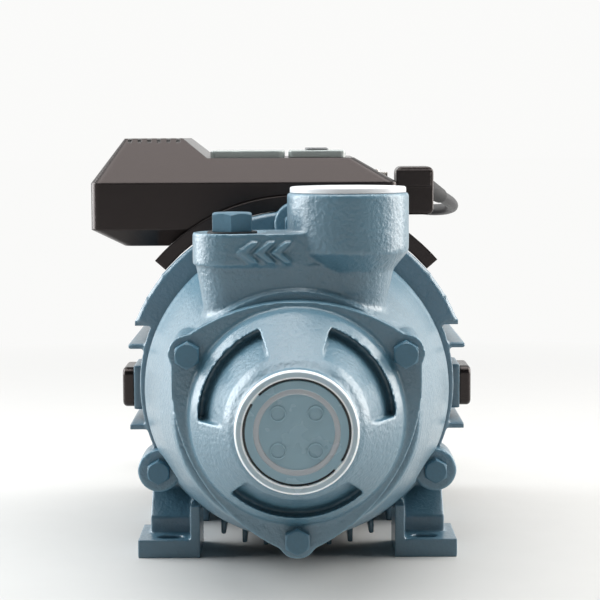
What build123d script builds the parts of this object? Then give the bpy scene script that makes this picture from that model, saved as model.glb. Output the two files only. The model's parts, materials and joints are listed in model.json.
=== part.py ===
from build123d import *
import math
import os

# Shallow well jet pump with an electronic controller. Millimetres, +Z up.
# Origin: middle of the four foot slots, on the floor. The shaft runs along Y
# and the suction port faces -Y.

# ---- driving dimensions -------------------------------------------------
SHAFT_Z = 80.0            # shaft height above the floor
COVER_Y = -143.5          # front face of the cover flange
JOINT_Y = COVER_Y + 8     # cover to casing joint
DISC_Y = COVER_Y + 80     # front edge of the casing's rear disc
MOTOR_Y = COVER_Y + 97    # casing to motor joint
FRAME_END = COVER_Y + 212  # back of the motor frame
SHIELD_END = FRAME_END + 10
FAN_END = COVER_Y + 262   # back of the fan cover

COVER_BOLT_R = 52.1       # bolt circle radius of the cover
COVER_BOLT_ANGLES = (30, 150, 270)
M6_HOLE_R = 3.3
M6_R = 3.0
M6_AF = 10.0
BOSS_FACE_Y = COVER_Y - 38.5   # end face of the suction boss
BOSS_R = 24.4
PORT_R = 15.15            # G1 thread, minor radius
PORT_MOUTH_R = 17.2       # relief in front of the thread
PORT_MOUTH_DEPTH = 6.0
PORT_THREAD_LENGTH = 16.0
DISCHARGE_X, DISCHARGE_Y = 22.2, COVER_Y + 27.5
DISCHARGE_TOP = 92.0      # end face of the discharge boss, above the shaft
DISCHARGE_R = 25.9
PLUG_X, PLUG_Y = -27.0, COVER_Y + 24
PLUG_TOP = 75.4           # plug pad, above the shaft
PLUG_HOLE_R = 6.55
DISC_R = 70.0
EAR_R = 75.5              # radius of the casing bolt circle
EAR_ANGLES = (90, -31.5, 211.5)
EAR_BOSS_R = 10.0
RING_R = 81.0             # motor ring and fin tips
PLATE_R = 73.5
SHELL_R = 67.0
STATOR_R = 60.0
FIN = 2.4
SLOT_X = 119.0            # foot slots, across
SLOT_Y = 100.0            # foot slots, along
SLOT_LENGTH = 12.0
SLOT_WIDTH = 7.0
FOOT_OUT = 74.5
FOOT_IN = 45.5
FOOT_THICK = 8.5
BEARING_OUT, BEARING_W = 17.5, 11.0
RUN = 0.05                # radial running clearance
BEARING_FRONT_Y = MOTOR_Y + 6
BEARING_REAR_Y = FRAME_END - 8

CASE_FRONT, CASE_BACK = COVER_Y + 110, COVER_Y + 214
CASE_LEFT, CASE_RIGHT = -97.0, 48.0
CASE_Z = 72.0             # lower edge of the controller's front, above the shaft
CASE_BEND = 94.0          # where its bevels start
CASE_TOP = 105.5
VENT_TOP = 115.0
VENT_RIGHT = -54.0        # right end of the raised part's flat top
BEVEL = 15 / 21           # run over rise of the front, back and left bevels
END_BEVEL = 20 / 11.5     # and of the shallower right-hand one
SADDLE_IN, SADDLE_OUT = 81.4, 88.0

CORD_D = 6.0
COIL_X, COIL_Y = 18.0, 188.2
COIL_IN, COIL_OUT, COIL_HIGH = 27.0, 39.0, 24.0
CORD_LEAD = [
    (71.4, 11.2, 166.1), (80.9, 31.5, 160.9), (79.5, 56.0, 157.5), (70.5, 79.5, 156.0),
    (58.5, 101.5, 157.5), (52.5, 119.2, 157.1), (48.8, 134.3, 148.7), (48.0, 144.1, 132.6),
    (48.0, 146.5, 109.0), (48.3, 146.5, 89.0), (48.2, 145.5, 70.0), (48.0, 145.6, 50.0),
    (48.0, 154.7, 34.4), (48.0, 170.3, 25.4), (48.0, 187.9, 23.0),
]
CORD_TAIL = [
    (18.0, 224.2, 21.0), (3.0, 223.7, 21.0), (-12.0, 220.2, 18.5), (-25.5, 212.7, 16.0),
    (-36.0, 201.5, 16.0),
]

AXIS = Axis((0, 0, SHAFT_Z), (0, 1, 0))


# ---- planes and small helpers -------------------------------------------
def across(y):
    """Plane square to the shaft at y; local x is +X, local y is height above the shaft."""
    return Plane((0, y, SHAFT_Z), x_dir=(1, 0, 0), z_dir=(0, -1, 0))


def level(height):
    """Horizontal plane at a height above the shaft."""
    return Plane((0, 0, SHAFT_Z + height), x_dir=(1, 0, 0), z_dir=(0, 0, 1))


def radial(angle):
    """Plane through the shaft; local x is Y, local y points out at the angle."""
    a = math.radians(angle)
    return Plane((0, 0, SHAFT_Z), x_dir=(0, 1, 0), z_dir=(math.sin(a), 0, -math.cos(a)))


def upright(x):
    """Plane square to X; local x is Y, local y is height above the shaft."""
    return Plane((x, 0, SHAFT_Z), x_dir=(0, 1, 0), z_dir=(1, 0, 0))


def turned(points, mode=Mode.ADD, start=90, arc=360):
    """A solid turned about the shaft from (y, radius) points."""
    with BuildSketch(radial(start)) as profile:
        with BuildLine():
            Polyline(*points, close=True)
        make_face()
    revolve(profile.sketch, axis=AXIS, revolution_arc=arc, mode=mode)


def drum(y_front, y_back, radius, x=0.0, z=0.0, mode=Mode.ADD):
    """A cylinder along Y; x and z are its axis, seen from the shaft."""
    with BuildSketch(across(y_back)) as section:
        with Locations((x, z)):
            Circle(radius)
    extrude(section.sketch, amount=y_back - y_front, mode=mode)


def post(low, high, radius, x, y, mode=Mode.ADD):
    """A vertical cylinder between two heights above the shaft."""
    with BuildSketch(level(low)) as section:
        with Locations((x, y)):
            Circle(radius)
    extrude(section.sketch, amount=high - low, mode=mode)


def block(x0, x1, y0, y1, z0, z1, mode=Mode.ADD):
    """A box; z0 and z1 are heights above the shaft."""
    with BuildSketch(level(z0)) as section:
        with Locations(((x0 + x1) / 2, (y0 + y1) / 2)):
            Rectangle(x1 - x0, y1 - y0)
    extrude(section.sketch, amount=z1 - z0, mode=mode)


def foot_block(x0, x1, points):
    """A block between two x positions whose side view is drawn in y and height."""
    with BuildSketch(upright(min(x0, x1))) as side_view:
        with BuildLine():
            Polyline(*points, close=True)
        make_face()
    extrude(side_view.sketch, amount=abs(x1 - x0))


def outward(turn, radius, y):
    """Plane facing straight out from the shaft at an angle, a radius and a y."""
    x, z = polar(1.0, turn)
    return Plane((x * radius, y, SHAFT_Z + z * radius), x_dir=(0, 1, 0), z_dir=(x, 0, z))


def polar(radius, angle):
    a = math.radians(angle)
    return radius * math.cos(a), radius * math.sin(a)


def hex_bolt(y_face, x, z, head, length, shank_r=M6_R, flats=M6_AF):
    """A hexagon bolt along Y; its head stands in front of y_face, with a chamfered crown."""
    with BuildSketch(across(y_face)) as hexagon:
        with Locations((x, z)):
            RegularPolygon(flats / 2, 6, major_radius=False, rotation=30)
    extrude(hexagon.sketch, amount=head)
    crown = flats / 2
    with BuildSketch(Plane((x, 0, SHAFT_Z + z), x_dir=(0, 1, 0), z_dir=(1, 0, 0))) as ring:
        with BuildLine():
            Polyline(
                (y_face - head, crown * 0.93), (y_face - head, crown * 1.3),
                (y_face - head + crown * 0.3, crown * 1.3), close=True,
            )
        make_face()
    revolve(ring.sketch, axis=Axis((x, 0, SHAFT_Z + z), (0, 1, 0)), mode=Mode.SUBTRACT)
    drum(y_face, y_face + length, shank_r, x, z)


def save(part, name):
    part.label = name
    export_step(part, f"parts/{name}.step")


os.makedirs("parts", exist_ok=True)

# ---- front cover ---------------------------------------------------------
with BuildPart() as front_cover:
    # three-lobed flange: the common part of three wide arcs, with a round end at each bolt
    with BuildSketch(across(JOINT_Y)):
        for lobe in COVER_BOLT_ANGLES:
            first = lobe == COVER_BOLT_ANGLES[0]
            with Locations(polar(32.0, lobe)):
                Circle(80.0, mode=Mode.ADD if first else Mode.INTERSECT)
        for lobe in COVER_BOLT_ANGLES:
            with Locations(polar(COVER_BOLT_R, lobe)):
                Circle(8.2)
    extrude(amount=JOINT_Y - COVER_Y)
    turned([
        (COVER_Y, 0), (COVER_Y, 45.6), (COVER_Y - 5, 44.0), (COVER_Y - 30, 27.5),
        (COVER_Y - 33, BOSS_R), (BOSS_FACE_Y, BOSS_R), (BOSS_FACE_Y, 0),
    ])
    # three pockets in the dome: a steep outer wall, and a floor that runs out towards the boss
    for middle, span in ((146, 68), (36, 68), (-90, 84)):
        turned([
            (COVER_Y - 3.0, 40.5), (COVER_Y - 4.5, 38.2), (COVER_Y - 27, 29.5),
            (COVER_Y - 34, 29.5), (COVER_Y - 34, 40.5),
        ], Mode.SUBTRACT, middle + span / 2, span)
    # suction chamber, thread and mouth
    turned([
        (JOINT_Y, 0), (JOINT_Y, 35.0), (COVER_Y, 34.0), (COVER_Y - 14, 20.0),
        (COVER_Y - 16.5, PORT_R), (BOSS_FACE_Y + PORT_MOUTH_DEPTH, PORT_R),
        (BOSS_FACE_Y + PORT_MOUTH_DEPTH, PORT_MOUTH_R), (BOSS_FACE_Y, PORT_MOUTH_R),
        (BOSS_FACE_Y, 0),
    ], Mode.SUBTRACT)
    for lobe in COVER_BOLT_ANGLES:
        drum(COVER_Y, JOINT_Y, M6_HOLE_R, *polar(COVER_BOLT_R, lobe), mode=Mode.SUBTRACT)
save(front_cover.part, "front_cover")

with BuildPart() as cover_bolts:
    for lobe in COVER_BOLT_ANGLES:
        hex_bolt(COVER_Y, *polar(COVER_BOLT_R, lobe), head=5.2, length=24)
save(cover_bolts.part, "cover_bolts")

SEAL_IN, SEAL_OUT = 40.5, 43.5
with BuildPart() as cover_seal:
    turned([(JOINT_Y, SEAL_IN), (JOINT_Y, SEAL_OUT), (JOINT_Y + 2, SEAL_OUT), (JOINT_Y + 2, SEAL_IN)])
save(cover_seal.part, "cover_seal")

# ---- ejector: nozzle and venturi ----------------------------------------
NOZZLE_FEED = -20.0       # the feed passage lies this far below the shaft
ARM_BACK = JOINT_Y - 5
ARM = 7.0                 # thickness of the nozzle's arm
with BuildPart() as jet_nozzle:
    with BuildSketch(across(ARM_BACK)):
        with Locations((0, NOZZLE_FEED / 2)):
            SlotOverall(-NOZZLE_FEED + 12, 12, rotation=90)
    extrude(amount=ARM)
    turned([(ARM_BACK, 0), (ARM_BACK, 6), (JOINT_Y + 4, 3.4), (JOINT_Y + 4, 0)])
    drum(ARM_BACK, JOINT_Y, 5.5, 0, NOZZLE_FEED)
    # passage: in at the foot, up the arm and out at the tip
    drum(ARM_BACK - ARM / 2, JOINT_Y, 2.4, 0, NOZZLE_FEED, Mode.SUBTRACT)
    drum(ARM_BACK - ARM / 2, JOINT_Y + 4, 1.8, mode=Mode.SUBTRACT)
    post(NOZZLE_FEED, 0, 2.2, 0, ARM_BACK - ARM / 2, Mode.SUBTRACT)
save(jet_nozzle.part, "jet_nozzle")

VENTURI_END = JOINT_Y + 49
with BuildPart() as venturi_tube:
    turned([
        (JOINT_Y, 13), (JOINT_Y, 38), (JOINT_Y + 3, 38), (JOINT_Y + 3, 17), (JOINT_Y + 30, 12),
        (VENTURI_END, 14), (VENTURI_END, 11), (JOINT_Y + 20, 5.5), (JOINT_Y + 12, 5.5),
    ])
    drum(JOINT_Y, JOINT_Y + 4, 3.0, 0, NOZZLE_FEED, Mode.SUBTRACT)
save(venturi_tube.part, "venturi_tube")

# ---- pump casing ---------------------------------------------------------
PARTING = 62.3            # height of the mould's parting line on the neck
NECK_FOOT = 30.0
with BuildPart() as pump_casing:
    # tapered body, rear disc and its round shoulder
    turned([
        (JOINT_Y, 0), (JOINT_Y, 51.5), (JOINT_Y + 3, 53), (JOINT_Y + 26, 59.6), (JOINT_Y + 50, 65),
        (DISC_Y - 4, 68.6), (DISC_Y - 1, 69.5), (DISC_Y + 1.5, DISC_R), (MOTOR_Y, DISC_R),
        (MOTOR_Y, 0),
    ])
    for lobe in COVER_BOLT_ANGLES:
        drum(JOINT_Y, JOINT_Y + 28, 8.2, *polar(COVER_BOLT_R, lobe))
    # notches in the disc in front of the three bolts, and the ears behind them
    for ear in EAR_ANGLES:
        drum(DISC_Y - 20, MOTOR_Y - 8, EAR_BOSS_R, *polar(EAR_R, ear), mode=Mode.SUBTRACT)
    for ear in EAR_ANGLES:
        drum(MOTOR_Y - 8, MOTOR_Y, EAR_BOSS_R, *polar(EAR_R, ear))
    # neck: narrow foot, wider head above the parting line
    with BuildSketch(level(PARTING)) as neck_low:
        with Locations((PLUG_X, PLUG_Y)):
            Circle(15.6)
        with Locations((DISCHARGE_X, DISCHARGE_Y)):
            Circle(19.2)
        make_hull()
    extrude(neck_low.sketch, amount=-(PARTING - NECK_FOOT), taper=9)
    with BuildSketch(level(PARTING - 0.3)) as neck_high:
        with Locations((PLUG_X, PLUG_Y)):
            Circle(16.9)
        with Locations((DISCHARGE_X - 6, DISCHARGE_Y)):
            Circle(18.5)
        make_hull()
    extrude(neck_high.sketch, amount=PLUG_TOP - PARTING + 0.3)
    # discharge boss and the cone under it
    with BuildSketch(Plane((DISCHARGE_X, DISCHARGE_Y, SHAFT_Z), x_dir=(1, 0, 0), z_dir=(0, -1, 0))) as boss:
        with BuildLine():
            Polyline(
                (0, 50), (17.5, 50), (19.4, PARTING - 3), (DISCHARGE_R, 67.2),
                (DISCHARGE_R, DISCHARGE_TOP - 1), (DISCHARGE_R - 1, DISCHARGE_TOP),
                (0, DISCHARGE_TOP), close=True,
            )
        make_face()
    revolve(boss.sketch, axis=Axis((DISCHARGE_X, DISCHARGE_Y, 0), (0, 0, 1)))
    # round recess in the pad for the plug's washer
    post(PLUG_TOP - 1.2, PLUG_TOP, 14.6, PLUG_X, PLUG_Y, Mode.SUBTRACT)
    # three flow chevrons standing 1 mm proud of the front of the head
    with BuildSketch(across(PLUG_Y - 15.5)) as chevrons:
        for step in range(3):
            x = -24.5 + 7.0 * step
            with BuildLine():
                Polyline(
                    (x, 67.6), (x + 6.0, 72.0), (x + 9.0, 72.0), (x + 4.2, 67.6),
                    (x + 9.0, 63.2), (x + 6.0, 63.2), close=True,
                )
            make_face()
    extrude(chevrons.sketch, amount=2.6)
    # water spaces
    turned([
        (JOINT_Y, 0), (JOINT_Y, 38.2), (JOINT_Y + 3, 38.2), (JOINT_Y + 3, 36.0), (JOINT_Y + 6, 36.0),
        (JOINT_Y + 10, 47.0), (DISC_Y, 62.0), (MOTOR_Y, 62.0), (MOTOR_Y, 0),
    ], Mode.SUBTRACT)
    turned([
        (JOINT_Y, SEAL_IN), (JOINT_Y, SEAL_OUT), (JOINT_Y + 2, SEAL_OUT), (JOINT_Y + 2, SEAL_IN),
    ], Mode.SUBTRACT)
    THREAD_LOW = DISCHARGE_TOP - PORT_MOUTH_DEPTH - PORT_THREAD_LENGTH
    port = (DISCHARGE_X, DISCHARGE_Y, Mode.SUBTRACT)
    post(DISCHARGE_TOP - PORT_MOUTH_DEPTH, DISCHARGE_TOP, PORT_MOUTH_R, *port)
    post(THREAD_LOW, DISCHARGE_TOP, PORT_R, *port)
    post(35, THREAD_LOW, 13.0, *port)
    post(PLUG_TOP - 14, PLUG_TOP, PLUG_HOLE_R, PLUG_X, PLUG_Y, Mode.SUBTRACT)
    post(35, PLUG_TOP - 14, 9.0, PLUG_X, PLUG_Y, Mode.SUBTRACT)
    # bolt holes
    for lobe in COVER_BOLT_ANGLES:
        drum(JOINT_Y, JOINT_Y + 18, M6_R, *polar(COVER_BOLT_R, lobe), mode=Mode.SUBTRACT)
    for ear in EAR_ANGLES:
        drum(MOTOR_Y - 8, MOTOR_Y, M6_HOLE_R, *polar(EAR_R, ear), mode=Mode.SUBTRACT)
save(pump_casing.part, "pump_casing")

# ---- casing bolts, priming plug and its washer ---------------------------
with BuildPart() as casing_bolts:
    for ear in EAR_ANGLES:
        hex_bolt(MOTOR_Y - 8, *polar(EAR_R, ear), head=5.2, length=20)
save(casing_bolts.part, "casing_bolts")

WASHER = 1.6
PLUG_SEAT = PLUG_TOP - 1.2
PLUG_HEX_AF = 16.5
PLUG_HEX_TOP = 83.8
with BuildPart() as plug_washer:
    post(PLUG_SEAT, PLUG_SEAT + WASHER, 10.6, PLUG_X, PLUG_Y)
    post(PLUG_SEAT, PLUG_SEAT + WASHER, PLUG_HOLE_R, PLUG_X, PLUG_Y, Mode.SUBTRACT)
save(plug_washer.part, "plug_washer")

with BuildPart() as priming_plug:
    with BuildSketch(level(PLUG_SEAT + WASHER)):
        with Locations((PLUG_X, PLUG_Y)):
            RegularPolygon(PLUG_HEX_AF / 2, 6, major_radius=False, rotation=30)
    extrude(amount=PLUG_HEX_TOP - PLUG_SEAT - WASHER)
    with BuildSketch(Plane((PLUG_X, PLUG_Y, SHAFT_Z), x_dir=(1, 0, 0), z_dir=(0, -1, 0))) as rim:
        with BuildLine():
            Polyline(
                (7.6, PLUG_HEX_TOP), (11, PLUG_HEX_TOP), (11, PLUG_HEX_TOP - 1.8), close=True,
            )
        make_face()
    revolve(rim.sketch, axis=Axis((PLUG_X, PLUG_Y, 0), (0, 0, 1)), mode=Mode.SUBTRACT)
    post(PLUG_TOP - 13, PLUG_SEAT + WASHER, PLUG_HOLE_R - RUN, PLUG_X, PLUG_Y)
save(priming_plug.part, "priming_plug")

# ---- transport caps in the two ports -------------------------------------
CAP_R = 24.7
CAP_FACE_Y = BOSS_FACE_Y - 2.9
CAP_SPIGOT_R = PORT_MOUTH_R - RUN
with BuildPart() as suction_cap:
    turned([
        (BOSS_FACE_Y, 0), (BOSS_FACE_Y, CAP_R - 0.5), (BOSS_FACE_Y - 0.6, CAP_R),
        (CAP_FACE_Y + 0.8, CAP_R), (CAP_FACE_Y, CAP_R - 0.8), (CAP_FACE_Y, 21.6),
        (CAP_FACE_Y + 0.8, 21.2), (CAP_FACE_Y + 0.8, 17.3), (CAP_FACE_Y + 1.2, 17.0),
        (CAP_FACE_Y + 1.2, 15.3), (CAP_FACE_Y + 1.6, 15.0), (CAP_FACE_Y + 1.6, 0),
    ])
    turned([
        (BOSS_FACE_Y, 15.2), (BOSS_FACE_Y, CAP_SPIGOT_R), (BOSS_FACE_Y + 4.6, CAP_SPIGOT_R),
        (BOSS_FACE_Y + 4.6, 15.2),
    ])
    # two long arc slots between the rim and the disc
    for start in (135, -45):
        turned([
            (CAP_FACE_Y - 1, 20.5), (CAP_FACE_Y - 1, 21.5), (BOSS_FACE_Y + 1, 21.5),
            (BOSS_FACE_Y + 1, 20.5),
        ], Mode.SUBTRACT, start, 168)
    for x in (-7.4, 7.4):
        for z in (-7.4, 7.4):
            drum(CAP_FACE_Y + 1.1, BOSS_FACE_Y, 3.2, x, z)
            drum(CAP_FACE_Y + 1.1, CAP_FACE_Y + 1.6, 2.7, x, z, Mode.SUBTRACT)
save(suction_cap.part, "suction_cap")

with BuildPart() as discharge_cap:
    post(DISCHARGE_TOP, DISCHARGE_TOP + 2.4, CAP_R, DISCHARGE_X, DISCHARGE_Y)
    fillet(discharge_cap.edges().group_by(Axis.Z)[-1], 0.8)
    post(DISCHARGE_TOP - 4.6, DISCHARGE_TOP, CAP_SPIGOT_R, DISCHARGE_X, DISCHARGE_Y)
    post(DISCHARGE_TOP - 4.6, DISCHARGE_TOP, 15.2, DISCHARGE_X, DISCHARGE_Y, Mode.SUBTRACT)
save(discharge_cap.part, "discharge_cap")

# ---- shaft and the pieces that turn with it ------------------------------
IMPELLER_FRONT = COVER_Y + 62
IMPELLER_BACK = COVER_Y + 76
IMPELLER_R = 42.0
SHAFT_TIP = COVER_Y + 56
SHAFT_TAIL = FAN_END - 12
FAN_Y = SHIELD_END + 10
with BuildPart() as shaft:
    turned([
        (SHAFT_TIP, 0), (SHAFT_TIP, 4), (IMPELLER_FRONT, 4), (IMPELLER_FRONT, 6), (IMPELLER_BACK, 6),
        (IMPELLER_BACK, 7.45), (BEARING_FRONT_Y + BEARING_W, 7.45), (BEARING_FRONT_Y + BEARING_W, 10),
        (BEARING_REAR_Y - 2, 10), (BEARING_REAR_Y - 2, 7.45), (FAN_Y, 7.45), (FAN_Y, 6.0),
        (SHAFT_TAIL, 6.0), (SHAFT_TAIL, 0),
    ])
    block(-1.5, 1.5, IMPELLER_FRONT + 2, IMPELLER_BACK - 2, 4.4, 8, Mode.SUBTRACT)
save(shaft.part, "shaft")

with BuildPart() as impeller_key:
    block(-1.5, 1.5, IMPELLER_FRONT + 2, IMPELLER_BACK - 2, 4.4, 7.4)
save(impeller_key.part, "impeller_key")

with BuildPart() as impeller_nut:
    with BuildSketch(across(IMPELLER_FRONT)):
        RegularPolygon(6.5, 6, major_radius=False)
        Circle(4.0, mode=Mode.SUBTRACT)
    extrude(amount=4.5)
save(impeller_nut.part, "impeller_nut")

with BuildPart() as impeller:
    turned([
        (IMPELLER_FRONT, 12.5), (IMPELLER_FRONT, 14.5), (IMPELLER_FRONT + 3.5, 14.5),
        (IMPELLER_FRONT + 3.5, IMPELLER_R), (IMPELLER_FRONT + 5.5, IMPELLER_R),
        (IMPELLER_FRONT + 5.5, 15), (IMPELLER_FRONT + 3, 12.5),
    ])
    turned([
        (IMPELLER_FRONT, 0), (IMPELLER_FRONT, 9), (IMPELLER_BACK - 3, 11),
        (IMPELLER_BACK - 3, IMPELLER_R), (IMPELLER_BACK, IMPELLER_R), (IMPELLER_BACK, 0),
    ])
    # six backswept vanes between the two shrouds
    with BuildSketch(across(IMPELLER_BACK - 2)) as vanes:
        for vane in range(6):
            turn = vane * 60
            with BuildLine():
                inner = polar(10.5, turn)
                middle = polar(26, turn - 30)
                outer = polar(IMPELLER_R - 0.5, turn - 75)
                lip = polar(IMPELLER_R - 0.5, turn - 79)
                back = polar(25, turn - 36)
                root = polar(10.5, turn - 12)
                ThreePointArc(inner, middle, outer)
                Line(outer, lip)
                ThreePointArc(lip, back, root)
                Line(root, inner)
            make_face()
    extrude(vanes.sketch, amount=IMPELLER_BACK - 2 - IMPELLER_FRONT - 4.5)
    drum(IMPELLER_FRONT, IMPELLER_BACK, 6.0, mode=Mode.SUBTRACT)
    block(-1.5, 1.5, IMPELLER_FRONT + 2, IMPELLER_BACK - 2, 0, 7.4, Mode.SUBTRACT)
save(impeller.part, "impeller")

DIFFUSER_Y = COVER_Y + 57
with BuildPart() as diffuser:
    turned([
        (DIFFUSER_Y, 14.57), (DIFFUSER_Y, 54), (DIFFUSER_Y + 3, 54), (DIFFUSER_Y + 3, 18),
        (DIFFUSER_Y + 7.5, 18), (DIFFUSER_Y + 7.5, 14.57),
    ])
    with BuildSketch(across(IMPELLER_BACK)) as guides:
        with PolarLocations(49.5, 9):
            SlotOverall(13, 2.4, rotation=62)
    extrude(guides.sketch, amount=IMPELLER_BACK - DIFFUSER_Y - 2)
save(diffuser.part, "diffuser")

SEAL_FACE = MOTOR_Y - 3
with BuildPart() as seal_head:
    head = [(IMPELLER_BACK, 7.45), (IMPELLER_BACK, 12.5)]
    for fold in range(3):
        y = IMPELLER_BACK + 3 + 3 * fold
        head += [(y, 10.5), (y + 1.5, 12.5)]
    head += [(SEAL_FACE - 0.3, 12.5), (SEAL_FACE - 0.3, 7.45)]
    turned(head)
save(seal_head.part, "seal_head")

with BuildPart() as seal_seat:
    turned([
        (SEAL_FACE, 7.45 + RUN), (SEAL_FACE, 11.5), (MOTOR_Y + 4, 11.5), (MOTOR_Y + 4, 7.45 + RUN),
    ])
save(seal_seat.part, "seal_seat")

with BuildPart() as slinger:
    turned([
        (MOTOR_Y + 4.3, 7.45), (MOTOR_Y + 4.3, 11.0), (MOTOR_Y + 5.6, 11.0), (MOTOR_Y + 5.6, 7.45),
    ])
save(slinger.part, "slinger")

ROTOR_FRONT, ROTOR_BACK = MOTOR_Y + 30, MOTOR_Y + 90
with BuildPart() as rotor_core:
    turned([(ROTOR_FRONT, 10), (ROTOR_FRONT, 31.6), (ROTOR_BACK, 31.6), (ROTOR_BACK, 10)])
    for end in (ROTOR_FRONT - 5, ROTOR_BACK):
        turned([(end, 20), (end, 31), (end + 5, 31), (end + 5, 20)])
save(rotor_core.part, "rotor_core")

with BuildPart() as fan:
    turned([
        (FAN_Y, 6.0), (FAN_Y, 12), (FAN_Y + 3, 14), (FAN_Y + 3, 60), (FAN_Y + 5, 60), (FAN_Y + 5, 13),
        (FAN_Y + 14, 12), (FAN_Y + 14, 6.0),
    ])
    with BuildSketch(across(FAN_Y + 18)) as blades:
        with PolarLocations(43, 9):
            Rectangle(36, 2.2)
    extrude(blades.sketch, amount=14)
save(fan.part, "fan")

# ---- bearings ------------------------------------------------------------
for name, y in (("front_bearing", BEARING_FRONT_Y), ("rear_bearing", BEARING_REAR_Y)):
    with BuildPart() as bearing:
        turned([
            (y, 7.45 + RUN), (y, BEARING_OUT), (y + BEARING_W, BEARING_OUT),
            (y + BEARING_W, 7.45 + RUN),
        ])
        for face in (y, y + BEARING_W - 0.8):
            turned([(face, 10.6), (face, 14.6), (face + 0.8, 14.6), (face + 0.8, 10.6)], Mode.SUBTRACT)
    save(bearing.part, name)

with BuildPart() as wave_washer:
    y = BEARING_REAR_Y + BEARING_W
    turned([(y, 13.0), (y, 17.2), (y + 1.2, 17.2), (y + 1.2, 13.0)])
save(wave_washer.part, "wave_washer")

# ---- stator --------------------------------------------------------------
with BuildPart() as stator_core:
    with BuildSketch(across(ROTOR_BACK)):
        Circle(STATOR_R)
        Circle(32.0, mode=Mode.SUBTRACT)
        with PolarLocations(41, 24):
            SlotOverall(15, 4.4, mode=Mode.SUBTRACT)
    extrude(amount=ROTOR_BACK - ROTOR_FRONT)
save(stator_core.part, "stator_core")

with BuildPart() as windings:
    for y0, y1 in ((ROTOR_FRONT - 13, ROTOR_FRONT), (ROTOR_BACK, ROTOR_BACK + 12)):
        turned([(y0, 36), (y0, 50), (y1, 50), (y1, 36)])
    with BuildSketch(across(ROTOR_BACK)) as bars:
        with PolarLocations(41, 24):
            SlotOverall(14.6, 4.0)
    extrude(bars.sketch, amount=ROTOR_BACK - ROTOR_FRONT)
save(windings.part, "windings")

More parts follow.
